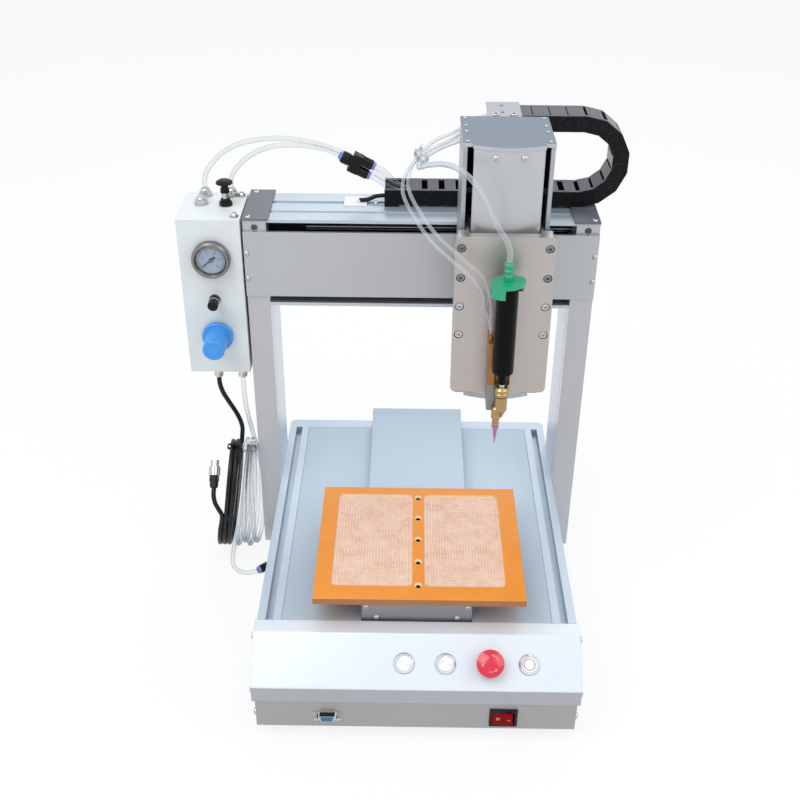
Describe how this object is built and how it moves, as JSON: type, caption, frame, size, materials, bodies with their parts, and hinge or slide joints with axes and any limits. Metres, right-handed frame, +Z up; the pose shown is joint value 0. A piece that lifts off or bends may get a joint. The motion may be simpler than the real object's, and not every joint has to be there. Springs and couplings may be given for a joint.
{
  "type": "desktop dispensing robot",
  "caption": "Desktop gantry robot that moves a dispensing syringe over a sliding fixture table, with a push-button console, an air pressure panel and a cable chain.",
  "frame": {"origin": "middle of the base's footprint on the standing surface", "axes": "+X to the right as seen by the user at the console, +Y to the back, +Z up"},
  "size_m": [0.5186, 0.4765, 0.61],
  "materials": {
    "satin_sheet": "satin",
    "anodised": "satin",
    "clear_anodised": "satin",
    "dark_cap": "matte",
    "orange_plate": "satin",
    "box_paint": "satin",
    "gold": "satin",
    "brass": "polished",
    "steel": "brushed",
    "motor_black": "matte",
    "rubber": "matte",
    "black_plastic": "matte",
    "red_plastic": "gloss",
    "blue_plastic": "gloss",
    "green_plastic": "gloss",
    "pink_plastic": "gloss",
    "clear_hose": "gloss",
    "black_cable": "satin"
  },
  "bodies": {
    "base": {"base_pan": "satin_sheet", "base_frame": "anodised", "deck_plates": "anodised", "console": "satin_sheet", "feet": "rubber", "dsub_socket": "blue_plastic", "rocker_bezel": "black_plastic", "panel_bezels": "steel", "y_bed": "clear_anodised", "guide_rails": "steel", "y_cover": "anodised", "y_end_plates": "clear_anodised", "axis_motors": "motor_black", "uprights": "satin_sheet", "x_beam": "satin_sheet", "x_cover": "satin_sheet", "beam_caps": "dark_cap", "air_box": "box_paint", "gauge_case": "steel", "box_fittings": "steel", "chain_fixed": "black_plastic", "hose_connector": "black_plastic", "feed_hoses": "clear_hose", "power_lead": "black_cable", "power_coil": "black_cable", "power_plug": "steel", "air_hose": "clear_hose", "air_coil": "clear_hose", "air_fitting": "black_plastic"},
    "rocker": {"rocker": "red_plastic"},
    "button_dispense": {"button_dispense": "steel"},
    "button_reset": {"button_reset": "steel"},
    "button_start": {"button_start": "steel"},
    "estop": {"estop_head": "red_plastic"},
    "y_screw": {"y_screw": "steel"},
    "table": {"y_carriage": "clear_anodised", "fixture_plate": "orange_plate"},
    "x_screw": {"x_screw": "steel"},
    "head": {"x_carriage": "clear_anodised", "z_body": "satin_sheet", "z_cover": "satin_sheet", "z_cap": "dark_cap", "z_motor": "motor_black", "chain_bracket": "clear_anodised", "chain_moving": "black_plastic", "head_hoses": "clear_hose"},
    "chain_bend": {"chain_bend": "black_plastic"},
    "z_screw": {"z_screw": "steel"},
    "tool": {"z_slider": "clear_anodised", "z_plate": "clear_anodised", "syringe_holder": "gold", "holder_foot": "clear_anodised", "syringe_barrel": "black_plastic", "syringe_cap": "green_plastic", "valve_body": "brass", "needle": "pink_plastic"},
    "gauge_pointer": {"gauge_pointer": "black_plastic"},
    "suckback_knob": {"suckback_knob": "black_plastic"},
    "regulator_knob": {"regulator_knob": "blue_plastic"},
    "hand_valve": {"hand_valve": "black_plastic"}
  },
  "joints": [
    {"name": "y_slide", "type": "slide", "parent": "base", "child": "table", "axis": [0, 1, 0], "range_m": [-0.06, 0.14]},
    {"name": "x_slide", "type": "slide", "parent": "base", "child": "head", "axis": [1, 0, 0], "range_m": [-0.1875, 0.0125], "deforming": ["chain_fixed", "chain_moving"]},
    {"name": "z_slide", "type": "slide", "parent": "head", "child": "tool", "axis": [0, 0, 1], "range_m": [-0.1, 0], "deforming": ["head_hoses"]},
    {"name": "y_screw_turn", "type": "hinge", "parent": "base", "child": "y_screw", "pos_m": [0.036, 0, 0.106], "axis": [0, 1, 0], "continuous": true},
    {"name": "x_screw_turn", "type": "hinge", "parent": "base", "child": "x_screw", "pos_m": [0, 0.137, 0.458], "axis": [1, 0, 0], "continuous": true},
    {"name": "z_screw_turn", "type": "hinge", "parent": "head", "child": "z_screw", "pos_m": [0.0875, 0.021, 0.45], "axis": [0, 0, 1], "continuous": true},
    {"name": "chain_roll", "type": "slide", "parent": "base", "child": "chain_bend", "axis": [1, 0, 0], "range_m": [-0.09375, 0.00625]},
    {"name": "rocker_tilt", "type": "hinge", "parent": "base", "child": "rocker", "pos_m": [0.097, -0.2325, 0.0355], "axis": [0, 0, 1], "range_deg": [0, 18]},
    {"name": "dispense_press", "type": "slide", "parent": "base", "child": "button_dispense", "axis": [0, 0.6735, -0.7392], "range_m": [0, 0.002], "stiffness_N_per_m": 800, "springref_m": -0.001},
    {"name": "reset_press", "type": "slide", "parent": "base", "child": "button_reset", "axis": [0, 0.6735, -0.7392], "range_m": [0, 0.002], "stiffness_N_per_m": 800, "springref_m": -0.001},
    {"name": "start_press", "type": "slide", "parent": "base", "child": "button_start", "axis": [0, 0.6735, -0.7392], "range_m": [0, 0.002], "stiffness_N_per_m": 800, "springref_m": -0.001},
    {"name": "estop_press", "type": "slide", "parent": "base", "child": "estop", "axis": [0, 0.6735, -0.7392], "range_m": [0, 0.004]},
    {"name": "pointer_turn", "type": "hinge", "parent": "base", "child": "gauge_pointer", "pos_m": [-0.2435, 0.083, 0.437], "axis": [0, 1, 0], "range_deg": [0, 265], "stiffness_Nm_per_rad": 0.00002},
    {"name": "suckback_turn", "type": "hinge", "parent": "base", "child": "suckback_knob", "pos_m": [-0.2435, 0.08, 0.384], "axis": [0, 1, 0], "range_deg": [-360, 360]},
    {"name": "regulator_turn", "type": "hinge", "parent": "base", "child": "regulator_knob", "pos_m": [-0.2435, 0.07, 0.3355], "axis": [0, 1, 0], "range_deg": [-360, 360]},
    {"name": "hand_valve_push", "type": "slide", "parent": "base", "child": "hand_valve", "axis": [0, 0, 1], "range_m": [-0.006, 0]}
  ],
  "couplings": [
    {"joint": "y_screw_turn", "follows": "y_slide", "rad_per_m": 628.32},
    {"joint": "x_screw_turn", "follows": "x_slide", "rad_per_m": 628.32},
    {"joint": "z_screw_turn", "follows": "z_slide", "rad_per_m": 628.32},
    {"joint": "chain_roll", "follows": "x_slide", "ratio": 0.5}
  ]
}
